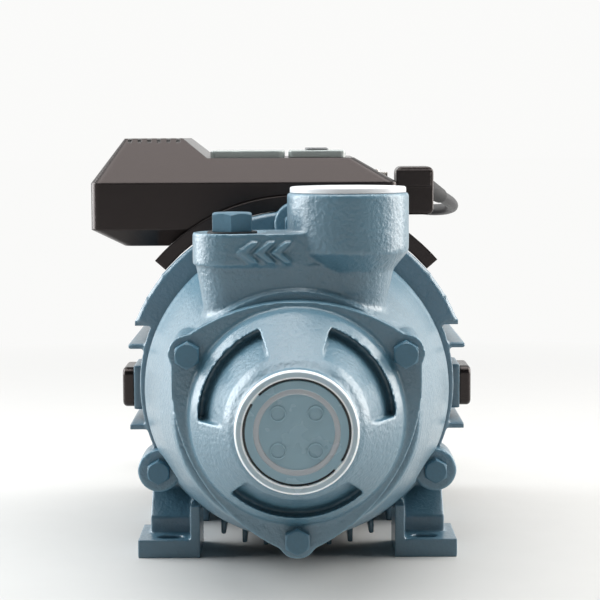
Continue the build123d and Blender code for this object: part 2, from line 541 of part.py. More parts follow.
# ---- motor frame ---------------------------------------------------------
RING_LOW = 22             # the ring runs over the top between these angles above the sides
FRONT_PLATE = MOTOR_Y + 6
SIDE_FINS = (51.0, 40.0, 29.0, 18.0, -20.0)
BOTTOM_FINS = (5.0, 15.0, 25.0, 35.0)
FLOOR_GAP = 77.5          # lowest fin edge, below the shaft
LEDGE = 15.0              # depth of the foot's front ledge
GUSSET_OUT = 69.5
SIDE_PAD_X = 77.8
SIDE_PAD_Y = (MOTOR_Y + 16, MOTOR_Y + 44)
SIDE_PLUG_Z = -3.5
with BuildPart() as motor_frame:
    turned([
        (MOTOR_Y, 0), (MOTOR_Y, PLATE_R), (FRONT_PLATE + 2, PLATE_R), (FRONT_PLATE + 2, SHELL_R),
        (FRAME_END - 7, SHELL_R), (FRAME_END - 7, PLATE_R), (FRAME_END, PLATE_R), (FRAME_END, 0),
    ])
    # front ring over the top, with a bevelled rim
    turned([
        (MOTOR_Y, 60), (MOTOR_Y, RING_R - 1.5), (MOTOR_Y + 1.5, RING_R), (FRONT_PLATE, RING_R),
        (FRONT_PLATE, 60),
    ], start=180 - RING_LOW, arc=180 - 2 * RING_LOW)
    for z in SIDE_FINS:
        reach = math.sqrt(RING_R ** 2 - z ** 2)
        for side in (-1, 1):
            x0, x1 = sorted((side * 48, side * reach))
            block(x0, x1, MOTOR_Y + 1, FRAME_END - 3, z - FIN / 2, z + FIN / 2)
    for x in BOTTOM_FINS:
        drop = min(math.sqrt((RING_R - 0.3) ** 2 - (x + FIN / 2) ** 2), FLOOR_GAP)
        for side in (-x, x):
            block(side - FIN / 2, side + FIN / 2, MOTOR_Y + 4, FRAME_END - 3, -drop, -50)
            block(side - FIN / 2, side + FIN / 2, MOTOR_Y + 4, FRAME_END - 3, 50, drop)
    # ears: the upper one stops in front of the saddle, the lower ones have ribs running back
    drum(MOTOR_Y, MOTOR_Y + 7.5, EAR_BOSS_R, *polar(EAR_R, EAR_ANGLES[0]))
    for ear in EAR_ANGLES[1:]:
        drum(MOTOR_Y, MOTOR_Y + 16, EAR_BOSS_R, *polar(EAR_R, ear))
    for ear in EAR_ANGLES[1:]:
        drum(MOTOR_Y, FRAME_END, 7.0, *polar(EAR_R - 6, ear))
    # flat pads on both sides for the blanking plugs
    for side in (-1, 1):
        x0, x1 = sorted((side * 60, side * SIDE_PAD_X))
        block(x0, x1, *SIDE_PAD_Y, -14, 7)
    # feet: slotted ledge, upright inner wall and sloping gusset, front and rear
    for end in (-1, 1):
        tip = end * (SLOT_Y + LEDGE) / 2
        step = end * (SLOT_Y - LEDGE) / 2
        heel = step - end * 20
        for side in (-1, 1):
            inner = side * FOOT_IN
            foot_block(inner, side * FOOT_OUT, [
                (tip, -SHAFT_Z), (tip, FOOT_THICK - SHAFT_Z), (heel, FOOT_THICK - SHAFT_Z),
                (heel, -SHAFT_Z),
            ])
            foot_block(inner, inner + side * 4.5, [
                (tip, -SHAFT_Z), (tip, -55.5), (step, -55.5), (step, -44), (heel, -44),
                (heel, -SHAFT_Z),
            ])
            foot_block(inner, side * GUSSET_OUT, [
                (step, -SHAFT_Z), (step, -63.6), (step - end * 13, -52),
                (step - end * 13, -28), (heel, -28), (heel, -SHAFT_Z),
            ])
    # inside of the shell, then the bearing hub standing in it
    turned([
        (FRONT_PLATE, 0), (FRONT_PLATE, STATOR_R), (FRAME_END, STATOR_R), (FRAME_END, 0),
    ], Mode.SUBTRACT)
    drum(MOTOR_Y, BEARING_FRONT_Y + BEARING_W, BEARING_OUT + 4.5)
    drum(BEARING_FRONT_Y, BEARING_FRONT_Y + BEARING_W, BEARING_OUT, mode=Mode.SUBTRACT)
    drum(MOTOR_Y, MOTOR_Y + 4, 11.5, mode=Mode.SUBTRACT)
    drum(MOTOR_Y, BEARING_FRONT_Y, 11.3, mode=Mode.SUBTRACT)
    # slots and bolt holes
    with BuildSketch(level(-SHAFT_Z)) as slots:
        with GridLocations(SLOT_X, SLOT_Y, 2, 2):
            SlotOverall(SLOT_LENGTH, SLOT_WIDTH)
    extrude(slots.sketch, amount=FOOT_THICK, mode=Mode.SUBTRACT)
    for ear in EAR_ANGLES:
        drum(MOTOR_Y, MOTOR_Y + 14, M6_R, *polar(EAR_R, ear), mode=Mode.SUBTRACT)
save(motor_frame.part, "motor_frame")

with BuildPart() as side_plugs:
    for side in (-1, 1):
        middle = (SIDE_PAD_Y[0] + SIDE_PAD_Y[1]) / 2
        plane = Plane((side * SIDE_PAD_X, middle, SHAFT_Z + SIDE_PLUG_Z), x_dir=(0, 1, 0), z_dir=(side, 0, 0))
        with BuildSketch(plane) as cap:
            RectangleRounded(26, 19, 3.5)
        extrude(cap.sketch, amount=5.5)
    fillet(side_plugs.faces().filter_by(Axis.X).sort_by(Axis.X)[0].edges(), 2.0)
    fillet(side_plugs.faces().filter_by(Axis.X).sort_by(Axis.X)[-1].edges(), 2.0)
save(side_plugs.part, "side_plugs")

# ---- rear end shield, fan cover and their screws -------------------------
SHIELD_R = 75.4
SCREW_R = 64.0
with BuildPart() as end_shield:
    turned([
        (FRAME_END, 20), (FRAME_END, SHIELD_R), (SHIELD_END, SHIELD_R), (SHIELD_END, 22),
        (SHIELD_END, 9), (FRAME_END + 4.2, 9), (FRAME_END + 4.2, 20),
    ])
    turned([
        (BEARING_REAR_Y, BEARING_OUT), (BEARING_REAR_Y, BEARING_OUT + 4), (FRAME_END + 5, BEARING_OUT + 4),
        (FRAME_END + 5, BEARING_OUT),
    ])
    turned([
        (FRAME_END, 0), (FRAME_END, BEARING_OUT), (FRAME_END + 4.2, BEARING_OUT), (FRAME_END + 4.2, 0),
    ], Mode.SUBTRACT)
    for turn in (45, 135, 225, 315):
        drum(FRAME_END, SHIELD_END, 2.2, *polar(SCREW_R, turn), mode=Mode.SUBTRACT)
        drum(SHIELD_END - 4, SHIELD_END, 4.2, *polar(SCREW_R, turn), mode=Mode.SUBTRACT)
save(end_shield.part, "end_shield")

with BuildPart() as shield_screws:
    for turn in (45, 135, 225, 315):
        x, z = polar(SCREW_R, turn)
        drum(SHIELD_END - 4, SHIELD_END - 1, 3.6, x, z)
        drum(FRAME_END, SHIELD_END - 4, 2.0, x, z)
save(shield_screws.part, "shield_screws")

FAN_COVER_R = 77.0
COVER_SCREW_TURNS = (30, 150, 270)
SHEET = 1.5
with BuildPart() as fan_cover:
    y = SHIELD_END - 8
    turned([
        (y, FAN_COVER_R - SHEET), (y, FAN_COVER_R), (FAN_END - 7, FAN_COVER_R),
        (FAN_END - 2, FAN_COVER_R - 2), (FAN_END, FAN_COVER_R - 7), (FAN_END, 0),
        (FAN_END - SHEET, 0), (FAN_END - SHEET, FAN_COVER_R - 7.6),
        (FAN_END - 3, FAN_COVER_R - 3.2), (FAN_END - 7.4, FAN_COVER_R - SHEET),
    ])
    with BuildSketch(across(FAN_END)) as grille:
        with PolarLocations(50, 28):
            SlotOverall(30, 4.0)
        with PolarLocations(24, 14):
            SlotOverall(14, 4.0)
    extrude(grille.sketch, amount=4, mode=Mode.SUBTRACT)
    for turn in COVER_SCREW_TURNS:
        with BuildSketch(outward(turn, SHIELD_R, SHIELD_END - 4)) as hole:
            Circle(2.0)
        extrude(hole.sketch, amount=4, mode=Mode.SUBTRACT)
save(fan_cover.part, "fan_cover")

with BuildPart() as fan_cover_screws:
    for turn in COVER_SCREW_TURNS:
        with BuildSketch(outward(turn, SHIELD_R, SHIELD_END - 4)) as stem:
            Circle(1.9)
        extrude(stem.sketch, amount=FAN_COVER_R - SHIELD_R)
        with BuildSketch(outward(turn, FAN_COVER_R, SHIELD_END - 4)) as head:
            Circle(3.4)
        extrude(head.sketch, amount=1.6)
save(fan_cover_screws.part, "fan_cover_screws")

# ---- controller ----------------------------------------------------------
with BuildPart() as controller_base:
    turned([
        (CASE_FRONT - 5, SADDLE_IN), (CASE_FRONT - 5, SADDLE_OUT), (CASE_BACK - 4, SADDLE_OUT),
        (CASE_BACK - 4, SADDLE_IN),
    ], start=139, arc=98)
save(controller_base.part, "controller_base")

WALL = 2.5


def case_layer(height, left, right, ends, radius):
    """A rounded rectangle: one horizontal section of the controller."""
    with BuildSketch(level(height)) as section:
        with Locations(((left + right) / 2, (CASE_FRONT + CASE_BACK) / 2)):
            RectangleRounded(right - left, CASE_BACK - CASE_FRONT - 2 * ends, radius)
    return section.sketch


def case_body(gap):
    """The controller's outer form, drawn in by a gap on every side."""
    left, right = CASE_LEFT + gap, CASE_RIGHT - gap
    rise = VENT_TOP - gap - CASE_BEND
    loft([
        case_layer(CASE_Z - 8 + gap, left + 15, right - 6, gap + 8, 4),
        case_layer(CASE_Z, left, right, gap, 5),
    ], ruled=True)
    loft([case_layer(CASE_Z, left, right, gap, 5), case_layer(CASE_BEND, left, right, gap, 5)])
    loft([
        case_layer(CASE_BEND, left, right, gap, 5),
        case_layer(CASE_BEND + rise, left + rise * BEVEL, right - rise * END_BEVEL, gap + rise * BEVEL, 3),
    ], ruled=True)
    # only the left end keeps the full height; the rest is lower, with a slope between them
    with BuildSketch(across(CASE_BACK)) as step:
        with BuildLine():
            Polyline(
                (VENT_RIGHT - gap, VENT_TOP - gap), (VENT_RIGHT + 12 - gap, CASE_TOP - gap),
                (CASE_RIGHT, CASE_TOP - gap), (CASE_RIGHT, VENT_TOP + 1),
                (VENT_RIGHT - gap, VENT_TOP + 1), close=True,
            )
        make_face()
    extrude(step.sketch, amount=CASE_BACK - CASE_FRONT, mode=Mode.SUBTRACT)


PANEL_X = (-41.0, -5.5)
KEYPAD_X = (-3.5, 24.0)
PANEL_Y = (CASE_FRONT + 16, CASE_BACK - 24)
HOUSING_SCREWS = [(CASE_LEFT + 5.5, CASE_FRONT + 14), (CASE_LEFT + 5.5, CASE_BACK - 14),
                  (CASE_RIGHT - 7, CASE_FRONT + 14), (CASE_RIGHT - 7, CASE_BACK - 14)]
with BuildPart() as case_void:
    case_body(WALL)

with BuildPart() as controller_case:
    case_body(0.0)
    add(case_void.part, mode=Mode.SUBTRACT)
    drum(CASE_FRONT, CASE_BACK, SADDLE_OUT + 0.1, mode=Mode.SUBTRACT)
    # vent louvres cut across the top of the raised block
    for slot in range(6):
        x = -79.2 + 4.6 * slot
        block(x - 0.9, x + 0.9, CASE_FRONT + 8, CASE_BACK - 8, VENT_TOP - 2.0, VENT_TOP + 1, Mode.SUBTRACT)
    for x, y in HOUSING_SCREWS:
        post(CASE_BEND + 2, VENT_TOP, 3.4, x, y, Mode.SUBTRACT)
    block(*PANEL_X, *PANEL_Y, CASE_TOP - 1, CASE_TOP + 1, Mode.SUBTRACT)
save(controller_case.part, "controller_case")

PANEL_THICK = 3.5
with BuildPart() as display_panel:
    with BuildSketch(level(CASE_TOP - 1)):
        with Locations((sum(PANEL_X) / 2, sum(PANEL_Y) / 2)):
            RectangleRounded(PANEL_X[1] - PANEL_X[0], PANEL_Y[1] - PANEL_Y[0], 3)
    extrude(amount=PANEL_THICK + 1)
    fillet(display_panel.faces().sort_by(Axis.Z)[-1].edges(), 0.8)
save(display_panel.part, "display_panel")

KEY_ROWS = 4
KEY_GAP = (PANEL_Y[1] - PANEL_Y[0]) / KEY_ROWS
KEY_SIZE = 11.0
KEY_TRAVEL = 0.8
KEYS = [(sum(KEYPAD_X) / 2, PANEL_Y[0] + KEY_GAP * (row + 0.5)) for row in range(KEY_ROWS)]
with BuildPart() as keypad_panel:
    with BuildSketch(level(CASE_TOP)):
        with Locations((sum(KEYPAD_X) / 2, sum(PANEL_Y) / 2)):
            RectangleRounded(KEYPAD_X[1] - KEYPAD_X[0], PANEL_Y[1] - PANEL_Y[0], 3)
    extrude(amount=PANEL_THICK)
    fillet(keypad_panel.faces().sort_by(Axis.Z)[-1].edges(), 0.8)
    for x, y in KEYS:
        with BuildSketch(level(CASE_TOP + 1)) as well:
            with Locations((x, y)):
                RectangleRounded(KEY_SIZE + 0.6, KEY_SIZE + 0.6, 2.3)
        extrude(well.sketch, amount=PANEL_THICK, mode=Mode.SUBTRACT)
save(keypad_panel.part, "keypad_panel")

for number, (x, y) in enumerate(KEYS, 1):
    with BuildPart() as key:
        with BuildSketch(level(CASE_TOP + 1 + KEY_TRAVEL + 0.2)):
            with Locations((x, y)):
                RectangleRounded(KEY_SIZE, KEY_SIZE, 2)
        extrude(amount=PANEL_THICK - 1)
        fillet(key.faces().sort_by(Axis.Z)[-1].edges(), 0.4)
    save(key.part, f"key_{number}")

with BuildPart() as case_screws:
    for x, y in HOUSING_SCREWS:
        post(CASE_BEND + 2, CASE_BEND + 4.4, 2.9, x, y)
        block(x - 2.2, x + 2.2, y - 0.4, y + 0.4, CASE_BEND + 3.6, CASE_BEND + 5, Mode.SUBTRACT)
save(case_screws.part, "case_screws")

with BuildPart() as circuit_board:
    block(-80, 36, CASE_FRONT + 14, CASE_BACK - 14, 92.0, 93.6)
save(circuit_board.part, "circuit_board")

with BuildPart() as run_capacitor:
    drum(CASE_FRONT + 18, CASE_FRONT + 72, 8.0, -80.5, 82.0)
    fillet(run_capacitor.edges().filter_by(GeomType.CIRCLE), 1.2)
save(run_capacitor.part, "run_capacitor")

# ---- cable outlet --------------------------------------------------------
OUTLET_X = (CASE_RIGHT, 66.0)
OUTLET_Y = (-20.0, 0.0)
OUTLET_Z = (78.0, 101.0)
LEDGE_Z = 91.5
BOOT_BASE_R, BOOT_TIP_R = 5.2, 3.7
BOOT_LENGTH = 24.0
cord_start = Vector(*CORD_LEAD[0])
cord_heading = (Vector(*CORD_LEAD[1]) - cord_start).normalized()
boot_plane = Plane(cord_start - cord_heading * BOOT_LENGTH, z_dir=cord_heading)


def boot_cone(mode=Mode.ADD):
    """The tapered strain relief, from inside the outlet block to the start of the cord."""
    with BuildSketch(boot_plane) as base:
        Circle(BOOT_BASE_R)
    with BuildSketch(boot_plane.offset(BOOT_LENGTH)) as tip:
        Circle(BOOT_TIP_R)
    loft([base.sketch, tip.sketch], mode=mode)


with BuildPart() as outlet_block:
    block(*OUTLET_X, *OUTLET_Y, *OUTLET_Z)
    fillet(outlet_block.edges().filter_by(Axis.Y), 3.0)
    fillet(outlet_block.faces().sort_by(Axis.X)[-1].edges(), 1.2)
    # step across the front
    block(OUTLET_X[0], OUTLET_X[1] - 1.5, OUTLET_Y[0] - 3, OUTLET_Y[0], LEDGE_Z, OUTLET_Z[1] - 1.5)
    boot_cone(Mode.SUBTRACT)
save(outlet_block.part, "outlet_block")

with BuildPart() as cord_boot:
    boot_cone()
save(cord_boot.part, "cord_boot")


# ---- mains cord ----------------------------------------------------------
def cord_path(points):
    """Bend radius at each inner point, as large as the two runs beside it allow."""
    radii = []
    for before, here, after in zip(points, points[1:], points[2:]):
        run_in = Vector(*here) - Vector(*before)
        run_out = Vector(*after) - Vector(*here)
        half = math.radians(run_in.get_angle(run_out)) / 2
        radii.append(0.45 * min(run_in.length, run_out.length) / math.tan(half))
    return radii


def cord_tube(points, name):
    """Round cord along straight runs joined by tangent arcs; returns its length."""
    radii = cord_path(points)
    with BuildPart() as tube:
        with BuildLine() as route:
            FilletPolyline(*points, radius=radii)
        with BuildSketch(Plane(route.wire() @ 0, z_dir=route.wire() % 0)):
            Circle(CORD_D / 2)
        sweep(path=route.wire())
    length = route.wire().length
    section = math.pi * CORD_D ** 2 / 4
    print(name, "radii", [round(r, 1) for r in radii])
    print(name, "length", round(length, 1), "volume ratio", round(tube.part.volume / (section * length), 4))
    save(tube.part, name)
    return length


cord_tube(CORD_LEAD, "cord_lead")
cord_tube(CORD_TAIL, "cord_tail")

with BuildPart() as cord_coil:
    with BuildSketch():
        with Locations((COIL_X, COIL_Y)):
            Circle(COIL_OUT)
            Circle(COIL_IN, mode=Mode.SUBTRACT)
    extrude(amount=COIL_HIGH)
save(cord_coil.part, "cord_coil")

TIE_W = 5.0
with BuildPart() as cord_tie:
    with BuildSketch():
        with Locations((COIL_X - (COIL_IN + COIL_OUT) / 2, COIL_Y)):
            Rectangle(COIL_OUT - COIL_IN + 2.4, TIE_W)
    extrude(amount=COIL_HIGH + 1.2)
    with BuildSketch(Plane.XY.offset(0.8)) as inside:
        with Locations((COIL_X - (COIL_IN + COIL_OUT) / 2, COIL_Y)):
            Rectangle(COIL_OUT - COIL_IN - 0.4, TIE_W)
    extrude(inside.sketch, amount=COIL_HIGH - 0.8, mode=Mode.SUBTRACT)
save(cord_tie.part, "cord_tie")

PLUG_FACE_R = 16.0
PLUG_LENGTH = 34.0
plug_start = Vector(*CORD_TAIL[-1])
plug_heading = Vector(CORD_TAIL[-1][0] - CORD_TAIL[-2][0], CORD_TAIL[-1][1] - CORD_TAIL[-2][1], 0).normalized()
plug_plane = Plane(plug_start, x_dir=(plug_heading.Y, -plug_heading.X, 0), z_dir=plug_heading)
with BuildPart() as mains_plug:
    with BuildSketch(plug_plane):
        Circle(5.5)
    with BuildSketch(plug_plane.offset(16)):
        Circle(12.5)
    loft()
    with BuildSketch(plug_plane.offset(16)) as body:
        Circle(PLUG_FACE_R)
    extrude(body.sketch, amount=PLUG_LENGTH - 16)
    fillet(mains_plug.edges().filter_by(GeomType.CIRCLE).sort_by(SortBy.RADIUS)[-2:], 1.5)
save(mains_plug.part, "mains_plug")

with BuildPart() as plug_pins:
    with BuildSketch(plug_plane.offset(PLUG_LENGTH)):
        with Locations((-9.5, 0), (9.5, 0)):
            Circle(2.4)
    extrude(amount=19)
    fillet(plug_pins.edges().filter_by(GeomType.CIRCLE), 1.0)
save(plug_pins.part, "plug_pins")
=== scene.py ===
import json
import math
import bpy
from mathutils import Matrix, Vector


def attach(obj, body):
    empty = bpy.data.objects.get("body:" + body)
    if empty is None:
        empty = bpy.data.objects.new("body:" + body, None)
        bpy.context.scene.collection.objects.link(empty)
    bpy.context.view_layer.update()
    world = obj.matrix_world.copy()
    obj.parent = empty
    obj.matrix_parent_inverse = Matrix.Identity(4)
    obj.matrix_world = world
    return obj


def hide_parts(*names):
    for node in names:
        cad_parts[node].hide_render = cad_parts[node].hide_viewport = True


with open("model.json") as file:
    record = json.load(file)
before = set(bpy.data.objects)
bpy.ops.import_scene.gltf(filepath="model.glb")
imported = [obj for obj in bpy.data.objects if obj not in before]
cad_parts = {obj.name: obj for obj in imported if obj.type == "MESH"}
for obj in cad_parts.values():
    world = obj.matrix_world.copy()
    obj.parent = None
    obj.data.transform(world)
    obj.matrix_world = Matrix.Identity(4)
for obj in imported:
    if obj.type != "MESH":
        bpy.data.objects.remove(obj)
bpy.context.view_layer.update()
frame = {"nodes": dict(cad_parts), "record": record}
NODES = frame["nodes"]
SHAFT_Z = 0.080
# the suction boss and its cap, about the shaft's centre line
BOSS_FACE_Y = -0.1812
SLOT_INNER, SLOT_OUTER = 0.0200, 0.0220
RING_INNER, RING_OUTER = 0.0150, 0.0172


# ---- small helpers -------------------------------------------------------
def link(obj):
    bpy.context.scene.collection.objects.link(obj)
    return obj


def look(origin, target):
    """Rotation that points an object's -Z from origin to target."""
    return (Vector(target) - Vector(origin)).to_track_quat("-Z", "Y")


def area(name, at, to, wide, high, watts, tint):
    lamp = bpy.data.lights.new(name, "AREA")
    lamp.shape = "RECTANGLE"
    lamp.size, lamp.size_y = wide, high
    lamp.energy = watts
    lamp.color = tint
    obj = link(bpy.data.objects.new(name, lamp))
    obj.location = at
    obj.rotation_mode = "QUATERNION"
    obj.rotation_quaternion = look(at, to)
    return obj


# ---- camera --------------------------------------------------------------
PITCH, YAW, ROLL = 0.0915, -0.0015, -0.0049
CAMERA_AT = (0.00045, -0.87977, 0.19609)
LENS_MM, SENSOR_MM = 107.6, 36
ahead = Vector((-math.sin(YAW) * math.cos(PITCH), math.cos(YAW) * math.cos(PITCH), -math.sin(PITCH)))
right = Vector((math.cos(YAW), math.sin(YAW), 0))
above = right.cross(ahead)
level_right = math.cos(ROLL) * right + math.sin(ROLL) * above
level_up = math.cos(ROLL) * above - math.sin(ROLL) * right
lens = bpy.data.cameras.new("camera")
lens.sensor_width = SENSOR_MM
lens.lens = LENS_MM
lens.clip_start, lens.clip_end = 0.05, 60
camera = link(bpy.data.objects.new("camera", lens))
turn = Matrix((level_right, level_up, -ahead)).transposed().to_4x4()
camera.matrix_world = Matrix.Translation(CAMERA_AT) @ turn
bpy.context.scene.camera = camera
bpy.context.scene.view_settings.view_transform = "Standard"


# ---- materials -----------------------------------------------------------
class Graph:
    """A node material: links, maths and textures in one short form each."""

    def __init__(self, name):
        self.mat = bpy.data.materials.new(name)
        self.mat.use_nodes = True
        self.tree = self.mat.node_tree
        self.shader = self.tree.nodes["Principled BSDF"]
        self.place = self.node("ShaderNodeTexCoord").outputs["Object"]

    def node(self, kind, **values):
        made = self.tree.nodes.new(kind)
        for key, value in values.items():
            setattr(made, key, value)
        return made

    def join(self, start, end):
        self.tree.links.new(start, end)

    def feed(self, socket, value):
        if isinstance(value, bpy.types.NodeSocket):
            self.join(value, socket)
        else:
            socket.default_value = value

    def scaled(self, stretch):
        mapping = self.node("ShaderNodeMapping")
        mapping.inputs["Scale"].default_value = stretch
        self.join(self.place, mapping.inputs["Vector"])
        return mapping.outputs["Vector"]

    def noise(self, scale, detail=3.0, stretch=(1, 1, 1), rough=0.55):
        made = self.node("ShaderNodeTexNoise")
        made.inputs["Scale"].default_value = scale
        made.inputs["Detail"].default_value = detail
        made.inputs["Roughness"].default_value = rough
        self.join(self.scaled(stretch), made.inputs["Vector"])
        return made.outputs["Fac"]

    def cells(self, scale):
        made = self.node("ShaderNodeTexVoronoi", feature="SMOOTH_F1")
        made.inputs["Scale"].default_value = scale
        self.join(self.place, made.inputs["Vector"])
        return made.outputs["Distance"]

    def maths(self, operation, a, b):
        made = self.node("ShaderNodeMath", operation=operation)
        self.feed(made.inputs[0], a)
        self.feed(made.inputs[1], b)
        return made.outputs[0]

    def remap(self, value, low, high, to_low, to_high):
        made = self.node("ShaderNodeMapRange")
        self.feed(made.inputs["Value"], value)
        for key, number in (("From Min", low), ("From Max", high), ("To Min", to_low), ("To Max", to_high)):
            made.inputs[key].default_value = number
        return made.outputs["Result"]

    def blend(self, factor, a, b):
        made = self.node("ShaderNodeMix", data_type="RGBA")
        self.feed(made.inputs["Factor"], factor)
        self.feed(made.inputs["A"], a)
        self.feed(made.inputs["B"], b)
        return made.outputs["Result"]

    def off_shaft(self):
        """The object's axes, and the distance from the shaft's centre line."""
        axes = self.node("ShaderNodeSeparateXYZ")
        self.join(self.place, axes.inputs[0])
        across = self.maths("POWER", axes.outputs["X"], 2.0)
        rise = self.maths("POWER", self.maths("SUBTRACT", axes.outputs["Z"], SHAFT_Z), 2.0)
        return axes, self.maths("POWER", self.maths("ADD", across, rise), 0.5)

    def band(self, radius, inner, outer, fade=0.0002):
        """1 between two radii and 0 elsewhere, with a short fade."""
        enter = self.remap(radius, inner - fade, inner + fade, 0, 1)
        leave = self.remap(radius, outer - fade, outer + fade, 1, 0)
        return self.maths("MULTIPLY", enter, leave)

    def bump(self, height, distance, radius=0.0):
        made = self.node("ShaderNodeBump")
        made.inputs["Strength"].default_value = 1.0
        made.inputs["Distance"].default_value = distance
        self.join(height, made.inputs["Height"])
        if radius:
            edge = self.node("ShaderNodeBevel", samples=6)
            edge.inputs["Radius"].default_value = radius
            self.join(edge.outputs["Normal"], made.inputs["Normal"])
        self.join(made.outputs["Normal"], self.shader.inputs["Normal"])


def rgba(colour, gain):
    return (*(min(1.0, c * gain) for c in colour), 1.0)


def finish_of(name, colour, spread=0.12, patch=60, rough=0.4, vary=0.08, metal=0.0, grain=900,
              depth=0.0001, edge=0.0, stretch=(1, 1, 1), coat=0.0):
    """A surface with uneven colour, uneven gloss, a fine relief and eased edges."""
    g = Graph(name)
    large = g.noise(patch, 4.0)
    fine = g.noise(grain, 3.0, stretch)
    mixed = g.maths("ADD", g.maths("MULTIPLY", large, 0.6), g.maths("MULTIPLY", fine, 0.4))
    tone = g.remap(mixed, 0.3, 0.7, 0, 1)
    g.feed(g.shader.inputs["Base Color"], g.blend(tone, rgba(colour, 1 - spread), rgba(colour, 1 + spread)))
    g.feed(g.shader.inputs["Roughness"], g.remap(fine, 0.3, 0.7, rough - vary, rough + vary))
    g.shader.inputs["Metallic"].default_value = metal
    g.shader.inputs["Coat Weight"].default_value = coat
    g.shader.inputs["Coat Roughness"].default_value = 0.25
    g.bump(fine, depth, edge)
    return g


def casting(name, colour, depth, grain, edge=0.0, edge_wear_and_painted_light=True, painted_slot_shade=False):
    """Thick satin paint over sand-cast iron: orange peel, pinholes, edges lighter from thinner paint and a
    painted highlight, and painted shade in hollows.
    """
    g = Graph(name)
    broad = g.noise(28, 4.0)
    peel = g.noise(grain, 2.5, rough=0.6)
    pits = g.remap(g.cells(grain * 0.55), 0.0, 0.55, 0.0, 1.0)
    swell = g.noise(grain * 0.3, 2.0)
    fine_relief = g.maths("ADD", peel, g.maths("MULTIPLY", swell, 0.6))
    relief = g.maths("ADD", fine_relief, g.maths("MULTIPLY", pits, 0.45))
    tone = g.remap(broad, 0.35, 0.65, 0, 1)
    paint = g.blend(tone, rgba(colour, 0.93), rgba(colour, 1.07))
    if edge_wear_and_painted_light:
        # raised edges lighter, partly paint pulled thin and partly a painted highlight; hollows darker, a
        # painted shade
        sharp = g.node("ShaderNodeNewGeometry").outputs["Pointiness"]
        paint = g.blend(g.remap(sharp, 0.505, 0.56, 0.0, 0.45), paint, rgba(colour, 1.7))
        paint = g.blend(g.remap(sharp, 0.49, 0.44, 0.0, 0.45), paint, rgba(colour, 0.55))
    if painted_slot_shade:
        # painted shade: a near-black ring on the boss face where the cap's two arc slot openings lie over
        # it, standing in for the deep shade there
        axes, reach = g.off_shaft()
        ring = g.band(reach, SLOT_INNER, SLOT_OUTER)
        face = g.remap(axes.outputs["Y"], BOSS_FACE_Y - 0.0002, BOSS_FACE_Y + 0.0002, 1, 0)
        shade = g.maths("MULTIPLY", ring, face)
        paint = g.blend(shade, paint, (0.004, 0.007, 0.009, 1))
    g.shader.inputs["Specular IOR Level"].default_value = 0.8
    g.shader.inputs["Coat Weight"].default_value = 0.6
    g.feed(g.shader.inputs["Base Color"], paint)
    g.feed(g.shader.inputs["Roughness"], g.remap(peel, 0.3, 0.7, 0.36, 0.48))
    g.shader.inputs["Coat Roughness"].default_value = 0.27
    g.bump(relief, depth, edge)
    return g


BLUE = (0.066, 0.158, 0.218)
MATERIALS = {
    "cast_paint": casting("cast_paint", BLUE, 0.00042, 760),
    # frame_paint is the casing's blue made darker: painted shade for the motor frame, which sits back in
    # shadow behind the casing
    "frame_paint": casting("frame_paint", (0.055, 0.136, 0.192), 0.00024, 800, 0.0008, edge_wear_and_painted_light=False),
    "bolt_paint": finish_of("bolt_paint", (0.060, 0.150, 0.212), rough=0.36, grain=700, depth=0.00008,
                            edge=0.0005),
    "black_plastic": finish_of("black_plastic", (0.0065, 0.0055, 0.0060), spread=0.2, rough=0.23, vary=0.04,
                               grain=2600, depth=0.00004, edge=0.0011),
    "white_cap": finish_of("white_cap", (0.66, 0.68, 0.70), spread=0.03, rough=0.35, grain=500,
                           depth=0.00003, edge=0.0006),
    "panel_white": finish_of("panel_white", (0.34, 0.385, 0.37), spread=0.05, rough=0.22, grain=300,
                             depth=0.00002, edge=0.0006, coat=0.4),
    "key_grey": finish_of("key_grey", (0.16, 0.165, 0.17), spread=0.06, rough=0.5, grain=1500,
                          depth=0.00004, edge=0.0006),
    "screw_steel": finish_of("screw_steel", (0.52, 0.49, 0.46), metal=1.0, rough=0.38, grain=1600,
                             depth=0.00004, edge=0.0003, stretch=(1, 6, 1)),
    "steel": finish_of("steel", (0.55, 0.56, 0.58), metal=1.0, rough=0.3, grain=900, depth=0.00003,
                       edge=0.0003, stretch=(1, 9, 1)),
    "brass": finish_of("brass", (0.62, 0.43, 0.17), metal=1.0, rough=0.34, grain=700, depth=0.00008,
                       edge=0.0004),
    "rubber": finish_of("rubber", (0.022, 0.022, 0.023), rough=0.7, grain=1200, depth=0.00006,
                        edge=0.0004),
    "moulded": finish_of("moulded", (0.06, 0.06, 0.065), rough=0.5, grain=900, depth=0.00006,
                         edge=0.0005),
    "lamination": finish_of("lamination", (0.30, 0.31, 0.33), metal=0.9, rough=0.45, grain=120,
                            depth=0.0002, stretch=(0.2, 18, 0.2)),
    "copper": finish_of("copper", (0.58, 0.24, 0.10), metal=0.85, rough=0.36, grain=160, depth=0.0004,
                        edge=0.0008, stretch=(5, 1, 5)),
    "ceramic": finish_of("ceramic", (0.74, 0.71, 0.64), spread=0.05, rough=0.28, grain=1500,
                         depth=0.00002, edge=0.0003),
    "board": finish_of("board", (0.02, 0.16, 0.07), spread=0.35, patch=140, rough=0.35, grain=420,
                       depth=0.00015, edge=0.0002),
    "cord": finish_of("cord", (0.018, 0.018, 0.0195), rough=0.42, grain=1500, depth=0.00004),
    "fan_cover_black": finish_of("fan_cover_black", (0.021, 0.021, 0.023), rough=0.5, grain=2200,
                                 depth=0.00005, edge=0.0008),
}
# the black plastic mirrors the room a little warm
MATERIALS["black_plastic"].shader.inputs["Specular Tint"].default_value = (1.0, 0.86, 0.82, 1)

# the front cover wears the casing's paint, with painted shade on the boss face behind the cap's slot
# openings
COVER_PAINT = casting("cover_paint", BLUE, 0.00036, 760, painted_slot_shade=True)



